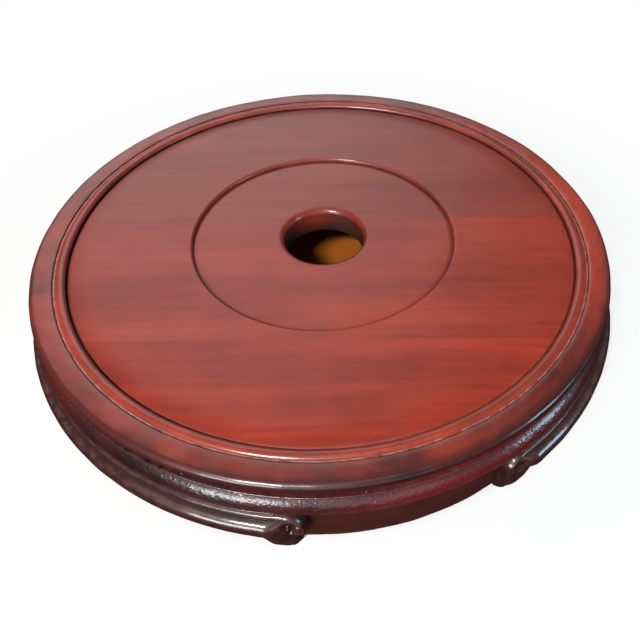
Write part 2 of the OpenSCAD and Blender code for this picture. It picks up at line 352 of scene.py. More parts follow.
class Graph:
    """Short hand for adding and joining shader nodes."""

    def __init__(self, tree: bpy.types.NodeTree) -> None:
        """Hold the tree that the nodes go into."""
        self.tree = tree

    def add(self, kind: str, inputs: dict | None = None, **settings: object) -> bpy.types.Node:
        """Add a node.

        Args:
            kind: the node's type, without the word ShaderNode in front.
            inputs: values, or output sockets to link, by the input's name or number.
            settings: the node's own settings.

        Returns:
            The new node.
        """
        node = self.tree.nodes.new("ShaderNode" + kind)
        for name, value in settings.items():
            setattr(node, name, value)
        for name, value in (inputs or {}).items():
            self.put(node.inputs[name], value)
        return node

    def put(self, socket: bpy.types.NodeSocket, value: object) -> None:
        """Set a socket, or link it where the value is another node's output.

        Args:
            socket: the input socket.
            value: a number, colour, vector or output socket.
        """
        if isinstance(value, bpy.types.NodeSocket):
            self.tree.links.new(value, socket)
        elif isinstance(value, tuple) and len(value) == 3 and len(getattr(socket, "default_value", ())) == 4:
            socket.default_value = (*value, 1.0)
        else:
            socket.default_value = value

    def maths(self, operation: str, first: object, second: object = 0.0,
              clamp: bool = False) -> bpy.types.NodeSocket:
        """A math node's output, held from 0 to 1 where clamp is set."""
        return self.add("Math", {0: first, 1: second}, operation=operation, use_clamp=clamp).outputs[0]

    def vector(self, operation: str, first: object, second: object) -> bpy.types.Node:
        """A vector math node."""
        return self.add("VectorMath", {0: first, 1: second}, operation=operation)

    def swing(self, value: object, reach: object) -> bpy.types.NodeSocket:
        """A value from 0 to 1, moved to lie about 0 and stretched."""
        return self.maths("MULTIPLY", self.maths("SUBTRACT", value, 0.5), reach)

    def ramp(self, value: object, low: float, high: float) -> bpy.types.NodeSocket:
        """A smooth step of a value from 0 at low to 1 at high."""
        limits = {"Value": value, "From Min": low, "From Max": high}
        return self.add("MapRange", limits, interpolation_type="SMOOTHSTEP").outputs["Result"]

    def mix(self, share: object, first: object, second: object) -> bpy.types.NodeSocket:
        """Two colours mixed.

        Args:
            share: how much of the second one.
            first: first colour or socket.
            second: second colour or socket.

        Returns:
            The mixed colour's socket.
        """
        node = self.add("Mix", data_type="RGBA", blend_type="MIX")
        for number, value in ((0, share), (6, first), (7, second)):
            self.put(node.inputs[number], value)
        return node.outputs[2]

    def noise(self, place: object, scale: float, detail: float, rough: float = 0.55) -> bpy.types.NodeSocket:
        """A noise texture's value, by its cells in a metre, its octaves and the weight of the finer ones."""
        given = {"Vector": place, "Scale": scale, "Detail": detail, "Roughness": rough}
        return self.add("TexNoise", given).outputs[0]


class Effects:
    """Shader node groups that more than one finish uses, each built once."""

    def __init__(self) -> None:
        """Build the groups."""
        self.figure = self.wood_figure()
        self.skin = self.lacquer_skin()
        self.age = self.age_marks()

    @staticmethod
    def start(name: str, inputs: dict[str, tuple[str, object]],
              outputs: list[str]) -> tuple[Graph, dict, dict]:
        """Open a new group.

        Args:
            name: name of the group.
            inputs: kind and first value of each input, by name.
            outputs: names of the values that it puts out.

        Returns:
            The graph, the input sockets by name, and the output sockets by name.
        """
        tree = bpy.data.node_groups.new(name, "ShaderNodeTree")
        for label, (kind, value) in inputs.items():
            socket = tree.interface.new_socket(name=label, in_out="INPUT", socket_type="NodeSocket" + kind)
            socket.default_value = value
        for label in outputs:
            tree.interface.new_socket(name=label, in_out="OUTPUT", socket_type="NodeSocketFloat")
        graph = Graph(tree)
        entry = tree.nodes.new("NodeGroupInput").outputs
        leave = tree.nodes.new("NodeGroupOutput").inputs
        return graph, {label: entry[label] for label in inputs}, {label: leave[label] for label in outputs}

    @classmethod
    def wood_figure(cls) -> bpy.types.NodeTree:
        """Grain along a board: broad tone, streaks and short pores.

        Returns:
            The group's tree.
        """
        graph, given, out = cls.start(
            "wood figure",
            {"Turn": ("Float", 0.0), "Shift": ("Vector", (0.0, 0.0, 0.0)), "Wander": ("Float", 0.012)},
            ["Tone", "Streak", "Pore"])
        place = graph.add("TexCoord").outputs["Object"]
        turned = graph.add("VectorRotate", {"Vector": place, "Angle": given["Turn"]}, rotation_type="Z_AXIS")
        moved = graph.vector("ADD", turned.outputs[0], given["Shift"]).outputs[0]
        sway = graph.swing(graph.noise(moved, 9.0, 2.0), given["Wander"])
        sideways = graph.add("CombineXYZ", {"Y": sway, "Z": sway}).outputs[0]
        swayed = graph.vector("ADD", moved, sideways).outputs[0]

        def drawn(along: float, across: float) -> bpy.types.NodeSocket:
            """The place drawn out along the grain."""
            return graph.vector("MULTIPLY", swayed, (along, across, across)).outputs[0]

        graph.put(out["Tone"], graph.noise(drawn(5.0, 34.0), 1.0, 4.0, 0.6))
        graph.put(out["Streak"], graph.noise(drawn(14.0, 320.0), 1.0, 5.0, 0.65))
        graph.put(out["Pore"], graph.ramp(graph.noise(drawn(70.0, 1500.0), 1.0, 2.0), 0.6, 0.74))
        return graph.tree

    @classmethod
    def lacquer_skin(cls) -> bpy.types.NodeTree:
        """Brushed lacquer: lumps, fine orange peel and specks, and how dull it is.

        Returns:
            The group's tree.
        """
        graph, given, out = cls.start(
            "lacquer skin",
            {"Lump": ("Float", 1.0), "Peel": ("Float", 1.0), "Speck": ("Float", 0.0)},
            ["Height", "Dull"])
        place = graph.add("TexCoord").outputs["Object"]
        lump = graph.maths("MULTIPLY", graph.noise(place, 160.0, 2.0), given["Lump"])
        peel = graph.maths("MULTIPLY", graph.noise(place, 620.0, 2.0), given["Peel"])
        dots = graph.add("TexVoronoi", {"Vector": place, "Scale": 420.0}).outputs["Distance"]
        speck = graph.maths("MULTIPLY", graph.ramp(dots, 0.16, 0.05), given["Speck"])
        graph.put(out["Height"], graph.maths("ADD", graph.maths("ADD", lump, peel), speck))
        graph.put(out["Dull"], graph.noise(place, 55.0, 4.0, 0.6))
        return graph.tree

    @classmethod
    def age_marks(cls) -> bpy.types.NodeTree:
        """Rubbed edges with painted sheen, painted shade and soiling in creases and hollows, tone and
        mottling, from the painted values.

        Returns:
            The group's tree.
        """
        graph, given, out = cls.start(
            "age marks", {"Rub": ("Float", 1.0), "Dirt": ("Float", 1.0)}, ["Wear", "Grime", "Tone", "Mottle"])
        place = graph.add("TexCoord").outputs["Object"]
        painted = [graph.add("Attribute", attribute_name=mark.value) for mark in Mark]
        # The rubbed mask also carries painted sheen, and the dark one carries painted shade as well as
        # soiling.
        worn, shaded_and_dirty, toned = (node.outputs["Fac"] for node in painted)
        broken = graph.ramp(graph.noise(place, 240.0, 4.0, 0.7), 0.36, 0.62)
        rubbed = graph.maths("MULTIPLY", worn, broken)
        graph.put(out["Wear"], graph.maths("MULTIPLY", rubbed, given["Rub"], True))
        patchy = graph.maths("MULTIPLY", shaded_and_dirty, graph.maths("ADD", 0.55, graph.noise(place, 90.0, 3.0)))
        graph.put(out["Grime"], graph.maths("MULTIPLY", patchy, given["Dirt"], True))
        graph.put(out["Tone"], toned)
        graph.put(out["Mottle"], graph.noise(place, 38.0, 5.0, 0.62))
        return graph.tree


def open_material(name: str) -> tuple[bpy.types.Material, Graph, bpy.types.Node]:
    """Open a new material.

    Args:
        name: name of the material.

    Returns:
        The material, its graph and its shader.
    """
    made = bpy.data.materials.new(name)
    made.use_nodes = True
    return made, Graph(made.node_tree), made.node_tree.nodes["Principled BSDF"]


@dataclass(frozen=True)
class LacquerFinish:
    """Stained wood under lacquer."""

    name: str
    slot: str
    dark: Colour
    light: Colour
    # The worn colour also paints sheen, and the colour after it paints shade as well as soiling.
    worn: Colour
    grime: Colour
    streak: float
    mottle: float
    lump: float
    peel: float
    relief: float
    rough: float
    rough_spread: float
    coat: float
    coat_rough: float
    specular: float
    broad: float = 0.55
    speck: float = 0.0
    rub: float = 1.0
    dirt: float = 1.0
    turn: float = 0.0
    shift: Triple = (0.0, 0.0, 0.0)
    deep_shade: float = 0.2
    pore: float = 0.35
    pore_shade: float = 0.45
    grime_dull: float = 0.3

    def along(self, place: Place, number: int, step: Triple) -> "LacquerFinish":
        """This finish for one arc, with the grain along it and a stretch of figure of its own.

        Args:
            place: which arc.
            number: the arc's number.
            step: shift of the figure from arc to arc along two axes, and its height.

        Returns:
            The arc's finish.
        """
        shift = (step[0] * number, step[1] * number, step[2])
        return replace(self, name=f"{self.name} {place.words}", turn=place.value + ALONG_ARC, shift=shift)

    def colour(self, graph: Graph, figure: bpy.types.Node, age: bpy.types.Node) -> bpy.types.NodeSocket:
        """The stain's colour, from the grain, the marks of ageing and the painted shade and sheen.

        Args:
            graph: the material's graph.
            figure: the node of the wood's figure.
            age: the node of the marks of ageing and the painted shade and sheen.

        Returns:
            The colour's socket.
        """
        tone = graph.maths("MULTIPLY", graph.ramp(figure.outputs["Tone"], 0.3, 0.7), self.broad)
        share = graph.maths("ADD", tone, 0.5 - self.broad / 2.0)
        share = graph.maths("ADD", share, graph.swing(figure.outputs["Streak"], self.streak * 2.0))
        share = graph.maths("ADD", share, graph.swing(age.outputs["Mottle"], self.mottle * 3.0))
        share = graph.maths("ADD", share, age.outputs["Tone"])
        colour = graph.mix(share, self.dark, self.light)
        deep = graph.maths("MULTIPLY", share, -1.0, True)
        colour = graph.mix(deep, colour, dim(self.dark, self.deep_shade))
        pore = graph.maths("MULTIPLY", figure.outputs["Pore"], self.pore)
        colour = graph.mix(pore, colour, dim(self.dark, self.pore_shade))
        colour = graph.mix(age.outputs["Wear"], colour, self.worn)
        return graph.mix(age.outputs["Grime"], colour, self.grime)

    def material(self, effects: Effects) -> bpy.types.Material:
        """Build the material.

        Args:
            effects: the shared node groups.

        Returns:
            The new material.
        """
        made, graph, shader = open_material(self.name)
        grain = {"Turn": math.radians(-self.turn - FRONT_TURN), "Shift": self.shift}
        figure = graph.add("Group", grain, node_tree=effects.figure)
        brushed = {"Lump": self.lump, "Peel": self.peel, "Speck": self.speck}
        skin = graph.add("Group", brushed, node_tree=effects.skin)
        age = graph.add("Group", {"Rub": self.rub, "Dirt": self.dirt}, node_tree=effects.age)
        graph.put(shader.inputs["Base Color"], self.colour(graph, figure, age))

        # The mask of painted shade and soiling, which also dulls the coat.
        shaded_and_dirty = age.outputs["Grime"]
        rough = graph.maths("ADD", graph.swing(skin.outputs["Dull"], self.rough_spread * 2.0), self.rough)
        rough = graph.maths("ADD", rough, graph.maths("MULTIPLY", shaded_and_dirty, self.grime_dull), True)
        graph.put(shader.inputs["Roughness"], rough)
        raised = {"Height": skin.outputs["Height"], "Distance": self.relief * MM, "Strength": 1.0}
        bump = graph.add("Bump", raised).outputs[0]
        graph.put(shader.inputs["Normal"], bump)
        graph.put(shader.inputs["Coat Normal"], bump)
        coat = graph.maths("MULTIPLY", graph.maths("SUBTRACT", 1.0, shaded_and_dirty), self.coat)
        graph.put(shader.inputs["Coat Weight"], coat)
        shader.inputs["Coat Roughness"].default_value = self.coat_rough
        shader.inputs["Specular IOR Level"].default_value = self.specular
        return made


@dataclass(frozen=True)
class PlainFinish:
    """Planed wood with no lacquer, for the pieces inside and underneath."""

    name: str
    slot: str
    dark: Colour = (0.10, 0.045, 0.022)
    light: Colour = (0.24, 0.125, 0.062)
    turn: float = 0.0
    broad: float = 0.6
    streak: float = 0.4
    pore: float = 0.5
    pore_shade: float = 0.5
    stain: Pair = (0.5, 0.8)
    stain_shade: float = 0.7
    rough: float = 0.6
    rough_spread: float = 0.3
    relief: float = 0.15

    def material(self, effects: Effects) -> bpy.types.Material:
        """Build the material.

        Args:
            effects: the shared node groups.

        Returns:
            The new material.
        """
        made, graph, shader = open_material(self.name)
        grain = {"Turn": math.radians(-self.turn - FRONT_TURN)}
        figure = graph.add("Group", grain, node_tree=effects.figure).outputs
        mottle = graph.add("Group", node_tree=effects.age).outputs["Mottle"]
        share = graph.maths("ADD", graph.maths("MULTIPLY", figure["Tone"], self.broad),
                            graph.maths("MULTIPLY", figure["Streak"], self.streak), True)
        colour = graph.mix(share, self.dark, self.light)
        pore = graph.maths("MULTIPLY", figure["Pore"], self.pore)
        colour = graph.mix(pore, colour, dim(self.dark, self.pore_shade))
        colour = graph.mix(graph.ramp(mottle, *self.stain), colour, dim(self.dark, self.stain_shade))
        graph.put(shader.inputs["Base Color"], colour)
        rough = graph.maths("ADD", self.rough, graph.maths("MULTIPLY", mottle, self.rough_spread))
        graph.put(shader.inputs["Roughness"], rough)
        bump = graph.add("Bump", {"Height": figure["Streak"], "Distance": self.relief * MM})
        graph.put(shader.inputs["Normal"], bump.outputs[0])
        return made


@dataclass
class Fitter:
    """Puts finished pieces on the frame."""

    effects: Effects
    fitted: list[str] = field(default_factory=list)

    def fit(self, made: bpy.types.Object, node: str, finish: LacquerFinish | PlainFinish) -> None:
        """Let a piece stand for a node of the frame, with its finish.

        Args:
            made: the piece.
            node: the node that it stands for.
            finish: its finish.
        """
        made.data.transform(Matrix.Rotation(math.radians(FRONT_TURN), 4, "Z"))
        made.data.materials.clear()
        made.data.materials.append(finish.material(self.effects))
        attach(made, "root")
        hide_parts(node)
        self.fitted.append(made.name)
        LOG.info("%s stands for %s", made.name, node)

    def dress(self, node: str, finish: PlainFinish) -> None:
        """Give a node of the frame a finish of its own.

        Args:
            node: the node, which keeps its mesh.
            finish: its finish.
        """
        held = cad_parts[node]
        held.data.materials.clear()
        held.data.materials.append(finish.material(self.effects))
        LOG.info("%s keeps its mesh", node)


# The colours that darken creases serve for painted shade as well as soiling; the moulding's worn colour also
# paints sheen on its upper ledge.
RED_PANEL = LacquerFinish(
    name="panel lacquer", slot="panel_wood", dark=(0.17, 0.016, 0.008), light=(0.375, 0.045, 0.022),
    worn=(0.50, 0.13, 0.08), grime=(0.03, 0.010, 0.006), streak=0.3, mottle=0.2, lump=0.35, peel=0.05,
    relief=0.05, rough=0.42, rough_spread=0.1, coat=0.6, coat_rough=0.15, specular=0.3)
RED_RIM = LacquerFinish(
    name="rim lacquer", slot="rim_wood", dark=(0.09, 0.012, 0.008), light=(0.38, 0.045, 0.021),
    worn=(0.50, 0.27, 0.20), grime=(0.02, 0.007, 0.005), broad=0.2, streak=0.25, mottle=0.45, lump=0.6,
    peel=0.1, relief=0.08, rough=0.38, rough_spread=0.14, coat=0.75, coat_rough=0.17, specular=0.35)
RED_MOULDING = replace(
    RED_RIM, name="moulding lacquer", slot="moulding_wood", dark=(0.016, 0.003, 0.003),
    light=(0.10, 0.008, 0.009), worn=(0.15, 0.045, 0.042), lump=1.0, peel=0.9, speck=0.7, relief=0.2,
    rough=0.36, coat=1.0, coat_rough=0.16)
DARK_APRON = replace(
    RED_RIM, name="apron lacquer", slot="apron_wood", dark=(0.03, 0.007, 0.005), light=(0.075, 0.014, 0.010),
    worn=(0.14, 0.06, 0.04), lump=0.6, peel=0.2, rough=0.5, coat=0.2, coat_rough=0.3, specular=0.25)
RED_FOOT = replace(
    RED_RIM, name="foot lacquer", slot="foot_wood", dark=(0.012, 0.003, 0.003), light=(0.045, 0.008, 0.006),
    worn=(0.12, 0.06, 0.05), lump=0.5, peel=0.2, speck=0.2, relief=0.1, rough=0.34, coat=1.0, coat_rough=0.1)
BARE_INSIDE = PlainFinish(name="planed wood", slot="inner_wood")


@dataclass
class Panel:
    """The three edge-joined boards of the top, and the battens under them."""

    hole_r: float = 20.5
    hole_ease: float = 3.0
    seat_r: float = 66.0
    seat_ogee: float = 1.7
    seat_step: float = 0.3
    seat_quirk: Pair = (1.6, 0.2)
    seat_z: float = 46.5
    field_z: float = 48.5
    edge_r: float = 125.8
    edge_ease: float = 0.8
    droop: float = 0.9
    droop_r: float = 114.5
    tongue: Triple = (129.4, 43.4, 46.2)
    bottom_z: float = 32.5
    bottom_ease: float = 0.8
    under_r: Pair = (60.0, 95.0)
    turn: float = -15.0
    joints: Pair = (11.0, -72.0)
    crease_z: Pair = (46.0, 46.4)
    wall_dark_z: float = 41.0
    wall_top_z: float = 46.0
    # Angle and width round the hole where its wall is lit and not painted darker.
    wall_lit: Pair = (98.0, 34.0)
    batten_x: float = 60.0
    batten_w: float = 22.0
    batten_h: float = 8.0
    batten_ease: float = 1.2
    batten_reach: float = 126.0
    batten_gap: float = 2.0
    batten_bow: Pair = (0.12, 0.09)
    dovetail: Triple = (7.6, 6.0, 4.5)
    steps: int = 384

    def shoulder(self, steps: int = 16) -> np.ndarray:
        """Points of the field's gently rounded border, from its edge inwards.

        Args:
            steps: spans along the border.

        Returns:
            An array of radius and height, one row a point.
        """
        radius = np.linspace(self.edge_r - self.edge_ease - 0.1, self.droop_r, steps + 1)
        share = (radius - self.droop_r) / (self.edge_r - self.droop_r)
        return np.stack([radius, self.field_z - self.droop * share ** 2], 1)

    def section(self) -> np.ndarray:
        """The turned section of the disc that the boards are cut from.

        Returns:
            An array of radius and height, one row a point.
        """
        tip, low, high = self.tongue
        inset, quirk = self.seat_quirk
        seat_low = self.seat_z - quirk
        edge = (self.edge_r - self.edge_ease, self.field_z - self.droop - self.edge_ease)
        ogee_r = self.seat_r + self.seat_ogee
        hole_top = (self.hole_r + self.hole_ease, self.seat_z - self.hole_ease)
        return np.concatenate([
            np.array([(self.edge_r, low), (tip, low), (tip, high), (self.edge_r, high)]),
            arc(edge, (self.edge_ease,) * 2, 0, 84, 6),
            self.shoulder(),
            line((self.droop_r - 1.0, self.field_z), (ogee_r + 0.6, self.field_z), 22),
            arc((ogee_r, seat_low), (self.seat_ogee - self.seat_step, self.field_z - seat_low), 90, 180, 20),
            ogee((self.seat_r, seat_low), (self.seat_r - inset, self.seat_z), 8),
            line((self.seat_r - inset - 1.0, self.seat_z), (hole_top[0] + 0.6, self.seat_z), 18),
            arc(hole_top, (self.hole_ease,) * 2, 90, 180, 10),
            line((self.hole_r, hole_top[1] - 1.0), (self.hole_r, self.bottom_z + self.bottom_ease), 5),
            np.array([(radius, self.bottom_z)
                      for radius in (self.hole_r + self.bottom_ease, *self.under_r, self.edge_r)])])

    def board(self, name: str, front: float | None, back: float | None) -> bpy.types.Object:
        """One board, cut from the turned disc along its joints.

        Args:
            name: name of the piece.
            front: place of its front joint, or None at the edge.
            back: place of its back joint, or None at the edge.

        Returns:
            The new piece.
        """
        made = Carver.turned(name, self.section(), 0.0, 360.0, self.steps)
        lean = math.radians(self.turn)
        across = Vector((-math.sin(lean), math.cos(lean), 0.0))
        work = bmesh.new()
        work.from_mesh(made.data)
        for place, normal in ((front, -across), (back, across)):
            if place is None:
                continue
            bmesh.ops.bisect_plane(work, geom=[*work.verts, *work.edges, *work.faces], dist=1e-7,
                                   plane_co=across * (place * MM), plane_no=normal, clear_outer=True)
            rim = [edge for edge in work.edges if edge.is_boundary]
            bmesh.ops.triangle_fill(work, edges=rim, use_beauty=True, normal=normal)
        work.to_mesh(made.data)
        work.free()
        Carver.settle(made)
        self.mark(made)
        return made

    def mark(self, made: bpy.types.Object) -> None:
        """Paint rubbed edges, painted shade in the creases and down the hole, dark board joints and broad
        tone.

        Args:
            made: the board.
        """
        at = Carver.places(made)
        radius, turn, z = Carver.polar(made)
        lean = math.radians(self.turn)
        across = -at[:, 0] * math.sin(lean) + at[:, 1] * math.cos(lean)
        along = at[:, 0] * math.cos(lean) + at[:, 1] * math.sin(lean)
        upper = smooth(z, self.bottom_z + 2.0, self.seat_z - 3.0)
        wear = 0.25 * bell(radius, self.edge_r - 0.9, 0.6) * upper
        # Painted shade in the seat's crease and in the crease at the panel's edge, lightest near the front.
        grime = 0.8 * bell(radius, self.seat_r + 0.15, 0.45) * upper
        grime += crease_shade(turn) * bell(radius, self.edge_r, 0.8) * smooth(z, *self.crease_z)
        # Painted shade down the hole's wall, and on its sides away from where the lamp lights it.
        deep = 1.0 - smooth(z, self.bottom_z - 1.0, self.wall_dark_z)
        grime += 0.85 * deep * bell(radius, self.hole_r, 2.0)
        sides = 1.0 - bell(turn, *self.wall_lit)
        grime += 0.8 * sides * bell(radius, self.hole_r, 0.9) * smooth(self.wall_top_z - z, 0.5, 3.0)
        for place in self.joints:
            grime += 0.05 * bell(across, place, 0.5) * upper
        tone = -0.16 * bell(across, 5.0, 8.0) * smooth(along, 55.0, 80.0)
        tone -= 0.2 * bell(across, -45.0, 22.0) * smooth(along, 40.0, 90.0)
        tone += 0.2 * smooth(along, 25.0, 75.0) * smooth(across, -30.0, -5.0)
        # Painted shade on and round the hole's wall.
        tone -= 0.35 * bell(radius, self.hole_r, 3.0)
        Carver.paint(made, wear, grime, tone)

    def batten(self, name: str, side: int) -> bpy.types.Object:
        """A batten under the boards, with eased edges.

        Args:
            name: name of the piece.
            side: -1 for the left one, 1 for the right one.

        Returns:
            The new piece.
        """
        half_w, ease = self.batten_w / 2.0, self.batten_ease
        half_l = math.sqrt(self.batten_reach ** 2 - (self.batten_x + half_w) ** 2) - self.batten_gap
        high, low = self.bottom_z, self.bottom_z - self.batten_h
        wide, neck, tall = self.dovetail
        section = np.concatenate([
            np.array([(half_w, high), (wide, high), (neck, high), (wide, high + tall),
                      (-wide, high + tall), (-neck, high), (-half_w, high)]),
            arc((-half_w + ease, low + ease), (ease, ease), 180, 270, 4),
            arc((half_w - ease, low + ease), (ease, ease), 270, 360, 4)])
        ends = np.linspace(-half_l, half_l, 41)
        lean = math.radians(self.turn)
        height, wave = self.batten_bow
        bow = height * np.sin(ends * wave + side)
        y, x = np.meshgrid(ends, side * self.batten_x + section[:, 0], indexing="ij")
        z = section[None, :, 1] + bow[:, None] * (section[None, :, 1] < low + ease)
        points = np.stack([x * math.cos(lean) - y * math.sin(lean),
                           x * math.sin(lean) + y * math.cos(lean), z], -1)
        made = Carver.loft(name, points, False)
        Carver.settle(made, 40.0)
        return made

    def build(self, fitter: Fitter) -> None:
        """Build the boards and the battens and fit them.

        Args:
            fitter: puts the pieces on the frame.
        """
        back, front = self.joints
        brown = replace(RED_PANEL, name="back board lacquer", turn=self.turn, shift=(0.31, 0.17, 0.0),
                        dark=(0.15, 0.016, 0.009), light=(0.28, 0.042, 0.023))
        middle = replace(RED_PANEL, name="middle board lacquer", turn=self.turn, shift=(-0.22, 0.43, 0.1))
        red = replace(RED_PANEL, name="front board lacquer", turn=self.turn, shift=(0.57, -0.36, 0.2),
                      light=(0.46, 0.047, 0.021))
        fitter.fit(self.board("panel_back_board", back, None), "back_board", brown)
        fitter.fit(self.board("panel_middle_board", front, back), "middle_board", middle)
        fitter.fit(self.board("panel_front_board", None, front), "front_board", red)
        bare = replace(BARE_INSIDE, name="batten wood", turn=self.turn + 90.0)
        fitter.fit(self.batten("panel_batten_left", -1), "batten_left", bare)
        fitter.fit(self.batten("panel_batten_right", 1), "batten_right", bare)


@dataclass
class Rim:
    """The four half-lapped arcs round the panel, with the waist under them."""

    inner_r: float = 126.0
    bead: Oval = (128.5, 48.1, 2.4, 1.7)
    crease_z: float = 47.4
    fillet_r: float = 130.55
    fillet_z: float = 49.1
    worn_fillet: tuple[Pair, ...] = ((0.1, -0.2), (-0.1, -0.22), (-0.3, 0.0), (-0.5, 0.05))
    fillet_top: Pair = (-0.7, 0.03)
    quirk_r: float = 131.75
    quirk_z: float = 48.5
    band_w: float = 10.75
    band_rise: float = 1.4
    shoulder_share: float = 0.65
    nose_r: float = 2.65
    waist_r: float = 136.5
    waist_share: float = 0.4
    foot_flare: float = 1.2
    foot_z: float = 41.0
    lap: float = 4.0
    lap_z: float = 44.4
    groove: Triple = (129.8, 43.4, 46.6)
    top_z: Pair = (47.9, 48.3)
    crease_from: Pair = (46.4, 46.8)
    crease_to: float = 48.8
    lip_inner_r: float = 127.9
    # Where shade is painted under the band and in the waist's hollow.
    under_z: float = 48.2
    under_r: Pair = (134.0, 136.0)
    hollow_z: float = 44.8
    hollow_r: Pair = (138.5, 140.5)
    tone_spots: tuple[Triple, ...] = (
        (0.8, -8.0, 28.0), (-0.25, -62.0, 16.0), (0.1, 170.0, 40.0), (0.1, -170.0, 40.0),
        (-0.42, -91.2, 4.0), (-0.1, -120.0, 12.0))
    tone_base: float = -0.12
    uneven: float = 0.1
    seed: int = 11
    steps: int = 150

    def waist(self, steps: int = 22) -> np.ndarray:
        """Points of the hollow waist, from its foot to the underside of the band.

        Args:
            steps: spans along the waist.

        Returns:
            An array of radius and height, one row a point.
        """
        share = np.linspace(0.0, 1.0, steps + 1)
        reach = self.quirk_r + self.band_w - self.nose_r - self.waist_r
        tall = self.quirk_z + self.band_rise - 2.0 * self.nose_r - self.foot_z
        low = np.clip(1.0 - share / self.waist_share, 0.0, None)
        high = np.clip((share - self.waist_share) / (1.0 - self.waist_share), 0.0, None)
        radius = self.waist_r + self.foot_flare * low ** 2 + reach * high ** 2.5
        return np.stack([radius, self.foot_z + share * tall], 1)

    def band(self, steps: int = 24, power: float = 3.0) -> np.ndarray:
        """Points of the band, from under its rounded nose over its flat top in to the quirk.

        Args:
            steps: spans along each of its curves.
            power: how square its inner shoulder is, 2 for an ellipse.

        Returns:
            An array of radius and height, one row a point.
        """
        top = self.quirk_z + self.band_rise
        nose = self.quirk_r + self.band_w - self.nose_r
        turn = np.radians(np.linspace(90.0, 176.0, steps + 1))
        half = self.band_w / 2.0
        drop = self.band_rise * self.shoulder_share
        inner = np.stack([self.quirk_r + half - half * np.abs(np.cos(turn)) ** (2.0 / power),
                          top - drop * (1.0 - np.sin(turn) ** (2.0 / power))], 1)
        return np.concatenate([
            arc((nose, top - self.nose_r), (self.nose_r,) * 2, -90, 88, steps),
            line((nose - 0.4, top), (self.quirk_r + half + 0.3, top), 4),
            inner])

    def lip(self) -> np.ndarray:
        """Points of the lip, from the quirk over a worn fillet and a bead down to the crease.

        Returns:
            An array of radius and height, one row a point.
        """
        centre_r, centre_z, half_r, half_z = self.bead
        out, up = self.fillet_top
        return np.concatenate([
            np.array([(self.quirk_r + r, self.fillet_z + z) for r, z in self.worn_fillet]),
            line((self.quirk_r + out, self.fillet_z + up), (self.fillet_r, self.fillet_z), 3),
            arc((centre_r, centre_z), (half_r, half_z), 37, 180, 30),
            np.array([(centre_r - half_r, self.crease_z)])])

    def halves(self) -> tuple[np.ndarray, np.ndarray]:
        """The sections above and below the lap.

        Returns:
            Points of the upper section, and of the lower one.
        """
        back, low, high = self.groove
        waist = self.waist()
        above, below = waist[waist[:, 1] > self.lap_z], waist[waist[:, 1] <= self.lap_z]
        upper = np.concatenate([
            np.array([(self.inner_r, high), (back, high), (back, self.lap_z)]),
            above,
            self.band(),
            self.lip()])
        lower = np.concatenate([
            np.array([(back, self.lap_z), (back, low), (self.inner_r, low), (self.inner_r, self.foot_z)]),
            below,
            np.array([(below[-1, 0] + 0.2, self.lap_z)])])
        return upper, lower

    def arc_piece(self, quarter: Quarter) -> bpy.types.Object:
        """One arc, its upper half turned one way past the joint and its lower half the other way.

        Args:
            quarter: which arc.

        Returns:
            The new piece.
        """
        name = "rim_" + quarter.piece
        start = quarter.value - QUARTER_SWEEP / 2.0
        parts = []
        for section, turn in zip(self.halves(), (self.lap, -self.lap)):
            skin = np.where(section[:, 0] > self.inner_r + 0.5, 1.0, 0.0)
            skin[np.abs(section[:, 1] - self.lap_z) < 0.4] = 0.0
            parts.append(Carver.turned(name, section, start + turn, QUARTER_SWEEP, self.steps,
                                       skin, self.uneven, self.seed))
        made = Carver.join(name, parts)
        Carver.settle(made)
        self.mark(made)
        return made

    def mark(self, made: bpy.types.Object) -> None:
        """Paint the rubbed lip, a darker quirk, painted shade in the crease, under the band and in the waist,
        and the tone round the ring.

        Args:
            made: the arc.
        """
        radius, turn, z = Carver.polar(made)
        top = smooth(z, *self.top_z)
        wear = 0.9 * bell(radius, self.quirk_r - 0.4, 0.28) * top
        grime = 0.75 * bell(radius, self.quirk_r + 0.1, 0.25) * top
        # Painted shade in the crease, lightest near the front, and on the bead's inner side at the left.
        crease = bell(radius, self.inner_r, 0.7) * smooth(z, *self.crease_from)
        grime += 0.9 * crease_shade(turn) * crease * smooth(self.crease_to - z, 0.0, 0.5)
        grime += 0.4 * around(turn, 170.0, 50.0) * smooth(self.lip_inner_r - radius, 0.0, 1.3)
        # Painted shade under the band's nose, in the waist's hollow and at its foot.
        grime += 0.75 * smooth(self.under_z - z, 0.0, 1.4) * smooth(radius, *self.under_r)
        grime += 0.5 * bell(z, self.hollow_z, 1.2) * (1.0 - smooth(radius, *self.hollow_r))
        grime += 0.6 * bell(z, self.foot_z, 0.7)
        band = smooth(radius, self.quirk_r - 0.2, self.quirk_r + 0.4)
        tone = self.tone_base + patches(turn, self.tone_spots)
        shown = 0.35 + 0.65 * around(turn, -70.0, 75.0)
        tone -= (0.35 * smooth(radius, 137.0, 140.0) + 0.75 * smooth(radius, 139.6, 141.4)) * shown
        tone = tone * band + 0.1 * (1.0 - band)
        # Painted shade down the waist, under the band.
        tone -= 0.6 * smooth(self.quirk_z - z, 2.4, 4.0)
        Carver.paint(made, wear, grime, tone)

    def build(self, fitter: Fitter) -> None:
        """Build the four arcs and fit them.

        Args:
            fitter: puts the pieces on the frame.
        """
        for number, quarter in enumerate(Quarter):
            finish = RED_RIM.along(quarter, number, (0.23, 0.11, 0.07))
            fitter.fit(self.arc_piece(quarter), "rim_arc_" + quarter.piece, finish)


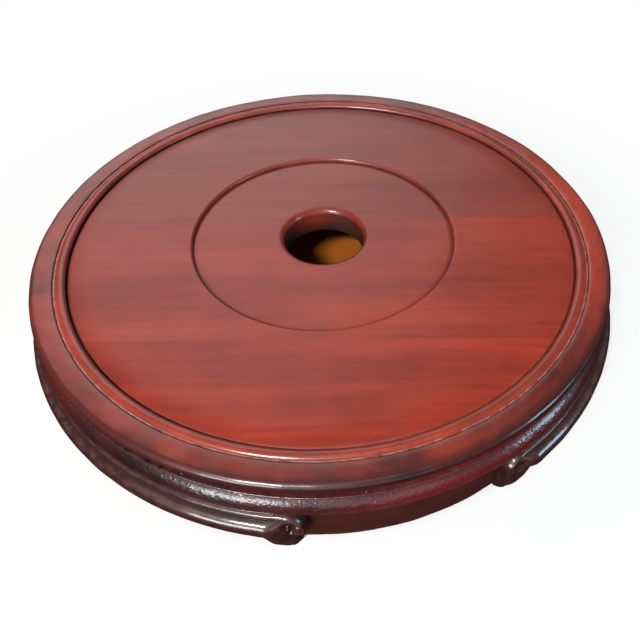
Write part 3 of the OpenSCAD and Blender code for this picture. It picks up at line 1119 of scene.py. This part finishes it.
@dataclass
class Moulding:
    """The torus ring under the waist, in four arcs."""

    inner_r: float = 128.7
    low_z: float = 30.5
    high_z: float = 41.0
    torus_r: float = 141.4
    torus_out: float = 3.6
    fillet_h: float = 0.8
    fillet_ease: float = 0.3
    lower_r: float = 143.3
    upper_r: float = 142.0
    upper_round: float = 0.4
    swell_z: float = 33.8
    slope_w: float = 5.4
    # Height and reach of the painted shade under the upper fillet.
    slope_shade_z: float = 39.6
    slope_shade_r: float = 142.3
    # Reach of the upper ledge's dust and painted sheen.
    ledge_dust_and_sheen_r: Pair = (140.5, 141.6)
    tone_spots: tuple[Triple, ...] = ((0.4, -85.0, 20.0), (-0.6, -128.0, 22.0), (-0.5, -20.0, 30.0))
    turn: float = -17.5
    uneven: float = 0.12
    seed: int = 23
    steps: int = 150

    def slope(self, steps: int = 26, power: float = 1.55) -> np.ndarray:
        """Points of the sloping upper side, from the widest place up.

        Args:
            steps: spans along the curve.
            power: how full it is, 2 for a quarter round and 1 for a straight slope.

        Returns:
            An array of radius and height, one row a point.
        """
        turn = np.radians(np.linspace(0.0, 80.0, steps + 1))[1:]
        tall = self.high_z - self.fillet_h - self.swell_z
        edge = self.torus_r + self.torus_out
        return np.stack([edge - self.slope_w * (1.0 - np.cos(turn) ** (2.0 / power)),
                         self.swell_z + tall * np.sin(turn) ** (2.0 / power)], 1)

    def section(self) -> tuple[np.ndarray, np.ndarray]:
        """The turned section and where it may be uneven.

        Returns:
            The section's points, and the share of unevenness at each.
        """
        ease, crown = self.fillet_ease, self.upper_round
        lower_top = self.low_z + self.fillet_h
        fillet = arc((self.upper_r - crown, self.high_z - crown), (crown, crown), -90, 90, 7)
        shown = np.concatenate([
            arc((self.lower_r - ease, self.low_z + ease), (ease, ease), -90, 0, 3),
            arc((self.lower_r - ease, lower_top - ease), (ease, ease), 0, 90, 3),
            arc((self.torus_r, self.swell_z), (self.torus_out, self.swell_z - lower_top), -70, 0, 12),
            self.slope(),
            fillet])
        hidden = np.array([(self.inner_r, self.high_z), (self.inner_r, self.low_z)])
        skin = smooth(shown[:, 1], self.low_z + 1.0, self.low_z + 2.0)
        skin[-len(fillet):] = 0.0
        return np.concatenate([shown, hidden]), np.concatenate([skin, np.zeros(len(hidden))])

    def arc_piece(self, quarter: Quarter) -> bpy.types.Object:
        """One arc of the moulding.

        Args:
            quarter: which arc.

        Returns:
            The new piece.
        """
        section, skin = self.section()
        start = quarter.value - QUARTER_SWEEP / 2.0 + self.turn
        made = Carver.turned("moulding_" + quarter.piece, section, start, QUARTER_SWEEP, self.steps,
                             skin, self.uneven, self.seed)
        Carver.settle(made)
        self.mark(made)
        return made

    def mark(self, made: bpy.types.Object) -> None:
        """Paint the rubbed crown and lower fillet, painted shade along both fillets and under the upper one,
        and a paler upper ledge of dust and painted sheen.

        Args:
            made: the arc.
        """
        radius, turn, z = Carver.polar(made)
        # Painted shade along both fillets and in the groove under the upper one.
        lower = bell(z, self.low_z + self.fillet_h, 0.4)
        grime = 0.7 * bell(z, self.high_z - self.fillet_h, 0.5) + 0.6 * lower
        grime += 0.8 * bell(z, self.slope_shade_z, 0.7) * (radius < self.slope_shade_r)
        wear = 0.3 * bell(radius, self.torus_r + self.torus_out, 0.35)
        wear += 0.5 * bell(radius, self.lower_r, 0.25) * lower
        # Dust and painted sheen on the upper ledge, which is paler.
        wear += 0.6 * bell(z, self.high_z - 0.3, 0.4) * smooth(radius, *self.ledge_dust_and_sheen_r)
        # The spot at -20 degrees paints shade on the right side; the other spots vary the tone.
        tone = patches(turn, self.tone_spots) + 0.3 * around(turn, 185.0, 25.0)
        Carver.paint(made, wear, grime, tone)

    def build(self, fitter: Fitter) -> None:
        """Build the four arcs and fit them.

        Args:
            fitter: puts the pieces on the frame.
        """
        for number, quarter in enumerate(Quarter):
            finish = RED_MOULDING.along(quarter, number, (0.41, 0.19, 0.13))
            fitter.fit(self.arc_piece(quarter), "moulding_" + quarter.piece, finish)


@dataclass
class Apron:
    """The plain ring between the moulding and the floor, in three arcs."""

    inner_r: float = 128.7
    inner_ease: float = 0.5
    face_r: float = 139.7
    low_z: float = 2.5
    high_z: float = 30.5
    ease: float = 0.6
    # Radius beyond which shade is painted under the moulding.
    dirt_r: float = 130.0
    uneven: float = 0.08
    seed: int = 31
    steps: int = 160

    def arc_piece(self, gap: Gap) -> bpy.types.Object:
        """One arc of the apron.

        Args:
            gap: which arc.

        Returns:
            The new piece.
        """
        inner = (self.inner_r + self.inner_ease, self.low_z + self.inner_ease)
        section = np.concatenate([
            arc(inner, (self.inner_ease,) * 2, 180, 270, 3),
            arc((self.face_r - self.ease, self.low_z + self.ease), (self.ease,) * 2, -90, 0, 8),
            line((self.face_r, self.low_z + self.ease + 1.0), (self.face_r, self.high_z), 14),
            np.array([(self.inner_r, self.high_z)])])
        skin = np.where(section[:, 0] > self.face_r - 0.5, 1.0, 0.0)
        skin[section[:, 1] > self.high_z - 0.5] = 0.0
        start = gap.value - THIRD_SWEEP / 2.0
        made = Carver.turned("apron_" + gap.piece + "_ring", section, start, THIRD_SWEEP, self.steps,
                             skin, self.uneven, self.seed)
        Carver.settle(made)
        self.mark(made)
        return made

    def mark(self, made: bpy.types.Object) -> None:
        """Paint the rubbed lower edge and painted shade under the moulding.

        Args:
            made: the arc.
        """
        radius, _, z = Carver.polar(made)
        wear = 0.5 * bell(z, self.low_z + 0.6, 0.8) * smooth(radius, self.face_r - 1.5, self.face_r - 0.3)
        # Painted shade under the moulding's overhang.
        grime = 0.8 * bell(z, self.high_z, 1.2) * (radius > self.dirt_r)
        Carver.paint(made, wear, grime, np.zeros_like(wear))

    def build(self, fitter: Fitter) -> None:
        """Build the three arcs and fit them.

        Args:
            fitter: puts the pieces on the frame.
        """
        for number, gap in enumerate(Gap):
            finish = DARK_APRON.along(gap, number, (0.37, 0.29, 0.21))
            fitter.fit(self.arc_piece(gap), "apron_" + gap.piece, finish)


@dataclass
class Feet:
    """The three scroll feet: a roll under a thin bead, which curls over a pad at each end.

    Places along a foot are counted from the centre of its scroll, toward the foot's end.
    """

    inner_r: float = 139.8
    ledge_r: float = 131.7
    ledge_z: float = 2.4
    top_z: float = 30.4
    face_r: float = 143.4
    roll: Oval = (144.6, 22.4, 5.0, 4.7)
    roll_fade: Pair = (-6.0, 5.0)
    roll_sink: float = 3.6
    fade_r: float = 144.2
    bead: Oval = (144.2, 29.0, 1.15, 1.15)
    swell: Oval = (143.0, 22.0, 4.6, 20.0)
    half_turn: float = 39.4
    scroll_z: float = 21.4
    scroll_r: float = 10.0
    knee: float = 35.0
    pad: Pair = (-1.0, 7.0)
    pad_round: Pair = (2.4, 1.4)
    crown_x: float = -8.2
    crown_z: float = 5.3
    level_x: float = -14.2
    level_z: float = 4.5
    ridge_r: float = 144.5
    curl_r: float = 145.0
    eye: Pair = (6.4, 18.6)
    eye_size: float = 2.0
    eye_r: float = 143.3
    heel: float = 2.6
    edge_ease: Pair = (0.45, 0.5)
    dense_from: float = -22.0
    uneven: float = 0.05
    seed: int = 41
    rows: int = 110

    def stations(self) -> np.ndarray:
        """Places along one half of a foot, from the middle of the foot to its end.

        Returns:
            The places in order.
        """
        middle = -math.radians(self.half_turn) * self.face_r
        inner, outer = self.pad
        end = self.scroll_r * np.sin(np.radians(np.linspace(0.0, 88.5, 44)))
        return np.unique(np.concatenate([
            np.linspace(middle, self.dense_from, 70), np.linspace(self.dense_from, 0.0, 92), end,
            [inner - 0.01, inner + 0.01, outer - 0.01, outer + 0.01]]).round(4))

    def lower_edge(self, x: np.ndarray) -> np.ndarray:
        """Height of the foot's lower edge.

        Args:
            x: places along the foot.

        Returns:
            One height a place.
        """
        inner, outer = self.pad
        reach, rise = self.pad_round
        bow = 1.0 - ((x - self.crown_x) / (inner - self.crown_x)) ** 2
        hook = self.crown_z * np.sqrt(np.clip(bow, 0.0, 1.0))
        slope = self.crown_z + (self.level_z - self.crown_z) * smooth(-x, -self.crown_x, -self.level_x)
        low = np.where(x < self.crown_x, slope, np.where(x < inner, hook, 0.0))
        knee_x = self.scroll_r * math.cos(math.radians(self.knee))
        knee_z = self.scroll_z - self.scroll_r * math.sin(math.radians(self.knee))
        side = knee_z * np.clip((x - outer) / (knee_x - outer), 0.0, 1.0)
        corner = rise * np.clip((x - outer + reach) / reach, 0.0, 1.0) ** 2
        low = np.where(x > outer, np.maximum(side, rise), low + corner)
        scroll = self.scroll_z - np.sqrt(np.clip(self.scroll_r ** 2 - x ** 2, 0.0, None))
        return np.where(x > knee_x, scroll, low)

    def upper_edge(self, x: np.ndarray) -> np.ndarray:
        """Height of the foot's upper edge at places along it."""
        bow = self.scroll_z + np.sqrt(np.clip(self.scroll_r ** 2 - np.clip(x, 0.0, None) ** 2, 0.0, None))
        return np.minimum(self.top_z, bow)

    @staticmethod
    def bulge(z: np.ndarray, oval: Oval) -> np.ndarray:
        """Radius of a rounded moulding.

        Args:
            z: heights.
            oval: radius and height of its centre, and its half axes.

        Returns:
            One radius a height, 0 outside the moulding.
        """
        centre_r, centre_z, half_r, half_z = oval
        reach = 1.0 - ((z - centre_z) / half_z) ** 2
        return np.where(reach > 0.0, centre_r + half_r * np.sqrt(np.clip(reach, 0.0, None)), 0.0)

    def plain_face(self, x: np.ndarray, z: np.ndarray) -> np.ndarray:
        """Radius of the face with its roll and bead, before the scroll is carved.

        Args:
            x: places along the foot.
            z: heights.

        Returns:
            One radius a point.
        """
        heights = [0.0, 5.0, 12.0, 14.5, 16.5, 18.4, 26.9, 27.5, 30.4]
        radii = [self.face_r - 0.2, self.face_r, self.face_r, 144.0, 145.3, 147.0, 143.2, 142.8, 142.6]
        face = np.interp(z, heights, radii)
        gone = smooth(x, *self.roll_fade)
        roll = self.bulge(z, self.roll)
        roll = np.where(roll > 0.0, roll - self.roll_sink * gone, 0.0)
        face = face - gone * np.clip(face - self.fade_r, 0.0, None)
        swell = smooth(x, -11.0, -3.0) * (1.0 - smooth(x, 1.0, 7.0)) * (z < self.swell[1])
        face = face + swell * np.clip(self.bulge(z, self.swell) - face, 0.0, None)
        return np.maximum(np.maximum(face, roll), self.bulge(z, self.bead))

    def relief(self, x: np.ndarray, z: np.ndarray) -> np.ndarray:
        """Radius of the carved face.

        Args:
            x: places along the foot.
            z: heights.

        Returns:
            One radius a point.
        """
        plain = self.plain_face(x, z)
        rho = np.hypot(x, z - self.scroll_z)
        phi = np.degrees(np.arctan2(x, z - self.scroll_z))
        path = np.interp(phi, [-75.0, -40.0, 0.0, 25.0, 50.0, 100.0, 130.0, 160.0],
                         [29.4, 9.9, 7.6, 8.2, 8.65, 8.7, 8.2, 7.4])
        wide = np.interp(phi, [-75.0, 0.0, 60.0, 110.0, 150.0], [1.15, 1.25, 1.6, 1.5, 0.9])
        tall = np.interp(phi, [-75.0, 0.0, 60.0, 110.0, 150.0, 165.0], [0.85, 1.1, 1.9, 1.6, 0.5, 0.0])
        ridge = self.ridge_r + tall * np.clip(1.0 - ((rho - path) / wide) ** 2, 0.0, 1.0) ** 0.75
        ridge = np.where(np.abs(rho - path) < wide, ridge, 0.0)
        inside = smooth(x, -2.0, 4.0)
        eye_at = np.hypot(x - self.eye[0], 0.8 * (z - self.eye[1]))
        hollow = 2.3 * bell(eye_at, 2.9, 1.7) * inside
        dome = np.sqrt(np.clip(self.eye_size ** 2 - eye_at ** 2, 0.0, None))
        eye = np.where(eye_at < self.eye_size, self.eye_r + 0.95 * dome, 0.0)
        shore = smooth(rho, 8.9, 10.0) * smooth(phi, 0.0, 30.0) * (1.0 - smooth(phi, 140.0, 170.0))
        ground = np.minimum(plain, self.curl_r) - hollow - 1.0 * shore
        curl = np.maximum(np.maximum(ground, ridge - 0.8 * shore), eye)
        near = inside * (1.0 - smooth(rho, 10.4, 13.0))
        heel = self.heel * smooth(x, 3.0, 7.4) * (1.0 - smooth(z, 7.0, 13.0))
        return plain * (1.0 - near) + curl * near - heel

    def back(self, along: np.ndarray, low: np.ndarray, high: np.ndarray) -> np.ndarray:
        """The foot's back, down the apron and in over the pad's ledge.

        Args:
            along: places along the foot.
            low: height of the lower edge at each place.
            high: height of the upper edge at each place.

        Returns:
            Radius and height of four points a place.
        """
        seated = (along > self.pad[0]) & (along < self.pad[1])
        ledge_r = np.where(seated, self.ledge_r, self.inner_r)
        ledge_z = np.minimum(np.where(seated, self.ledge_z, np.maximum(low, 0.0)), high)
        inner = np.full_like(low, self.inner_r)
        corners = ((inner, high), (inner, ledge_z), (ledge_r, ledge_z), (ledge_r, low))
        return np.stack([np.stack(corner, -1) for corner in corners], 1)

    @staticmethod
    def shade(face: np.ndarray, reach: int = 6, stride: int = 3) -> tuple[np.ndarray, np.ndarray]:
        """Rubbed crests and painted shade in the hollows of the carving.

        Args:
            face: radii of the carved face's points.
            reach: how many points away a point is compared with.
            stride: points from one compared point to the next.

        Returns:
            How rubbed each point is, and its painted shade.
        """
        wide = np.pad(face, reach, mode="edge")
        rows, columns = face.shape
        shifts = range(0, 2 * reach + 1, stride)
        mean = sum(wide[i:i + rows, j:j + columns] for i in shifts for j in shifts) / len(shifts) ** 2
        rise = face - mean
        return np.clip(rise / 0.5, 0.0, 1.0) * 0.45, np.clip(-rise / 0.4, 0.0, 1.0) * 0.9

    def foot(self, foot: Foot, seed: int) -> bpy.types.Object:
        """One carved foot.

        Args:
            foot: which foot.
            seed: number that picks its unevenness.

        Returns:
            The new piece.
        """
        half = self.stations()
        middle = half[0]
        along = np.concatenate([half, half[::-1][:-1]])
        side = np.concatenate([np.ones(len(half)), -np.ones(len(half) - 1)])
        order = np.argsort(side * (along - middle), kind="stable")
        along, side = along[order], side[order]
        turn = np.radians(foot.value) + side * (along - middle) / self.face_r
        low, high = self.lower_edge(along), self.upper_edge(along)
        share = np.linspace(0.0, 1.0, self.rows)
        z = low[:, None] + (high - low)[:, None] * share[None, :]
        face = self.relief(np.broadcast_to(along[:, None], z.shape), z)
        face += self.uneven * ripple(turn[:, None], z, seed)
        face = np.maximum(face, self.inner_r + 0.25)
        depth, reach = self.edge_ease
        edge = np.minimum(share, 1.0 - share)[None, :] * (high - low)[:, None]
        face -= depth * np.clip(1.0 - edge / reach, 0.0, 1.0) ** 2
        back = self.back(along, low, high)
        radius = np.concatenate([face, back[..., 0]], 1)
        z = np.concatenate([z, back[..., 1]], 1)
        points = np.stack([radius * np.cos(turn)[:, None], radius * np.sin(turn)[:, None], z], -1)
        made = Carver.loft("scroll_foot_" + foot.piece, points, False)
        unmarked = ((0, 0), (0, back.shape[1]))
        # Rubbed crests and painted shade in the carving's hollows.
        wear, grime = (np.pad(values, unmarked).reshape(-1) for values in self.shade(face))
        Carver.paint(made, wear, grime, np.zeros_like(wear))
        Carver.settle(made, 48.0)
        return made

    def build(self, fitter: Fitter) -> None:
        """Build the three feet and fit them.

        Args:
            fitter: puts the pieces on the frame.
        """
        for number, foot in enumerate(Foot):
            finish = RED_FOOT.along(foot, number, (0.53, 0.27, 0.31))
            fitter.fit(self.foot(foot, self.seed + number), "foot_" + foot.piece, finish)


@dataclass
class InnerWork:
    """Pins and dowels, which keep the frame's own meshes."""

    nodes: tuple[str, ...] = ("rim_pins", "ring_dowels", "foot_dowels")

    def build(self, fitter: Fitter) -> None:
        """Give the hidden nodes their plain finish."""
        for node in self.nodes:
            fitter.dress(node, replace(BARE_INSIDE, name="dowel wood " + node.replace("_", " ")))


@dataclass(frozen=True)
class Lamp:
    """One soft light of the studio."""

    name: str
    place: Triple
    size: Pair
    power: float
    colour: Colour
    aim: Triple = (0.0, 0.0, 0.04)

    def build(self) -> None:
        """Hang the light and point it at the stand."""
        data = bpy.data.lights.new(self.name, "AREA")
        data.shape = "RECTANGLE"
        data.size, data.size_y = self.size
        data.energy = self.power
        data.color = self.colour
        held = hang(self.name, data)
        held.location = self.place
        held.rotation_euler = (Vector(self.aim) - Vector(self.place)).to_track_quat("-Z", "Y").to_euler()
        held.visible_camera = False


@dataclass(frozen=True)
class Viewpoint:
    """The camera, where the photograph was taken from."""

    place: Triple = (0.0, -0.24091, 0.24855)
    turn: Triple = (41.891, -0.198, -4.465)
    lens: float = 33.861
    sensor: float = 36.0
    shift: float = -0.0653
    nearest: float = 0.01

    def build(self) -> None:
        """Stand the camera in its place."""
        data = bpy.data.cameras.new("camera")
        data.lens = self.lens
        data.sensor_width = self.sensor
        data.shift_x = self.shift
        data.clip_start = self.nearest
        held = hang("camera", data)
        held.location = self.place
        held.rotation_euler = Euler([math.radians(angle) for angle in self.turn])
        bpy.context.scene.camera = held


@dataclass
class Studio:
    """Floor, lights, surroundings and camera."""

    lamps: tuple[Lamp, ...] = (
        Lamp("key light", (-0.46, -0.92, 1.05), (0.32, 0.12), 20.0, (1.0, 0.98, 0.95)),
        Lamp("front window", (0.1, -1.6, 0.5), (1.7, 0.7), 3.2, (0.84, 0.86, 1.0)),
        Lamp("left window", (-0.76, -1.29, 0.42), (0.65, 0.4), 12.0, (0.96, 0.98, 1.0)),
        Lamp("right window", (1.2, -0.48, 0.33), (0.3, 0.45), 4.5, (0.45, 0.74, 1.0)),
    )
    ambient: float = 0.15
    room_colour: Colour = (0.96, 0.97, 1.0)
    ceiling_glow: float = 0.9
    ceiling_way: Triple = (0.0, -0.17, 0.985)
    ceiling_edge: float = 0.92
    wall_glow: float = 1.35
    wall_way: Triple = (-0.16, 0.793, 0.588)
    wall_edge: float = 0.865
    wall_foot: Pair = (0.3, 0.45)
    floor_half: float = 4.0
    floor_z: float = -2e-4
    floor_colour: Colour = (0.86, 0.86, 0.855)
    floor_shade: float = 0.985
    table_colour: Colour = (0.42, 0.125, 0.018)
    table_edge: Pair = (0.11, 0.13)
    bounce_colour: Colour = (0.04, 0.024, 0.018)
    white_near: Pair = (0.136, 0.15)
    white_far: Pair = (0.15, 0.3)
    near_share: float = 0.62
    clear_ring: Pair = (0.1, 0.028)

    def floor_material(self) -> bpy.types.Material:
        """The floor's finish: white far from the stand, the table's colour under it, and dark to other rays.

        It is clear from below, and to diffuse rays in a ring under the stand, so that the underside is lit.

        Returns:
            The new material.
        """
        made = bpy.data.materials.new("pale floor")
        made.use_nodes = True
        graph = Graph(made.node_tree)
        made.node_tree.nodes.clear()
        place = graph.add("TexCoord").outputs["Object"]
        reach = graph.add("VectorMath", {0: place}, operation="LENGTH").outputs["Value"]
        near = graph.maths("MULTIPLY", graph.ramp(reach, *self.white_near), self.near_share)
        far = graph.maths("MULTIPLY", graph.ramp(reach, *self.white_far), 1.0 - self.near_share)
        rays = graph.add("LightPath").outputs
        seen = rays["Is Camera Ray"]
        shade = dim(self.floor_colour, self.floor_shade)
        tint = graph.mix(graph.noise(place, 180.0, 3.0), shade, self.floor_colour)
        shown = graph.mix(graph.ramp(reach, *self.table_edge), self.table_colour, tint)
        matt = graph.add("BsdfDiffuse", {"Color": graph.mix(seen, self.bounce_colour, shown)})
        white = graph.add("Emission", {"Color": (1.0, 1.0, 1.0), "Strength": 1.0})
        share = graph.maths("MULTIPLY", seen, graph.maths("ADD", near, far))
        both = graph.add("MixShader", {0: share, 1: matt.outputs[0], 2: white.outputs[0]})
        middle, half = self.clear_ring
        off = graph.maths("ABSOLUTE", graph.maths("SUBTRACT", reach, middle))
        under = graph.maths("MULTIPLY", graph.maths("LESS_THAN", off, half), rays["Is Diffuse Ray"])
        below = graph.maths("MAXIMUM", graph.add("NewGeometry").outputs["Backfacing"], under)
        clear = graph.add("BsdfTransparent")
        whole = graph.add("MixShader", {0: below, 1: both.outputs[0], 2: clear.outputs[0]})
        leave = graph.add("OutputMaterial", {"Surface": whole.outputs[0]})
        leave.is_active_output = True
        return made

    def floor(self) -> None:
        """Lay the floor."""
        half = self.floor_half
        mesh = bpy.data.meshes.new("floor")
        corners = ((-half, -half), (half, -half), (half, half), (-half, half))
        mesh.from_pydata([(*corner, self.floor_z) for corner in corners], [], [(0, 1, 2, 3)])
        laid = hang("floor", mesh)
        mesh.materials.append(self.floor_material())

    def surroundings(self) -> None:
        """Light the room softly, with a brighter wall and ceiling, and show it white to the camera."""
        world = bpy.context.scene.world or bpy.data.worlds.new("room")
        bpy.context.scene.world = world
        world.use_nodes = True
        graph = Graph(world.node_tree)
        world.node_tree.nodes.clear()
        rays = graph.add("LightPath").outputs
        way = graph.add("TexCoord").outputs["Generated"]
        facing = graph.vector("DOT_PRODUCT", way, self.wall_way).outputs["Value"]
        height = graph.add("SeparateXYZ", {"Vector": way}).outputs["Z"]
        raised = graph.ramp(height, *self.wall_foot)
        wall = graph.maths("MULTIPLY", graph.ramp(facing, self.wall_edge, 1.0), raised)
        wall = graph.maths("MULTIPLY", wall, self.wall_glow)
        overhead = graph.vector("DOT_PRODUCT", way, self.ceiling_way).outputs["Value"]
        ceiling = graph.maths("MULTIPLY", graph.ramp(overhead, self.ceiling_edge, 1.0), self.ceiling_glow)
        strength = graph.maths("ADD", graph.maths("ADD", wall, ceiling), self.ambient)
        soft = graph.add("Background", {"Color": self.room_colour, "Strength": strength})
        white = graph.add("Background", {"Color": (1.0, 1.0, 1.0), "Strength": 1.0})
        both = graph.add("MixShader", {0: rays["Is Camera Ray"], 1: soft.outputs[0], 2: white.outputs[0]})
        graph.add("OutputWorld", {"Surface": both.outputs[0]})

    def build(self) -> None:
        """Set up everything that isn't part of the stand."""
        self.floor()
        self.surroundings()
        for lamp in self.lamps:
            lamp.build()
        Viewpoint().build()
        bpy.context.scene.view_settings.view_transform = "Standard"


def main() -> None:
    """Build the stand's pieces in order, then the studio, and log how many pieces were fitted."""
    logging.basicConfig(level=logging.INFO, format="%(name)s: %(message)s")
    fitter = Fitter(Effects())
    for assembly in (Panel(), Rim(), Moulding(), Apron(), Feet(), InnerWork()):
        assembly.build(fitter)
    Studio().build()
    LOG.info("%d pieces fitted", len(fitter.fitted))


if __name__ == "__main__":
    main()
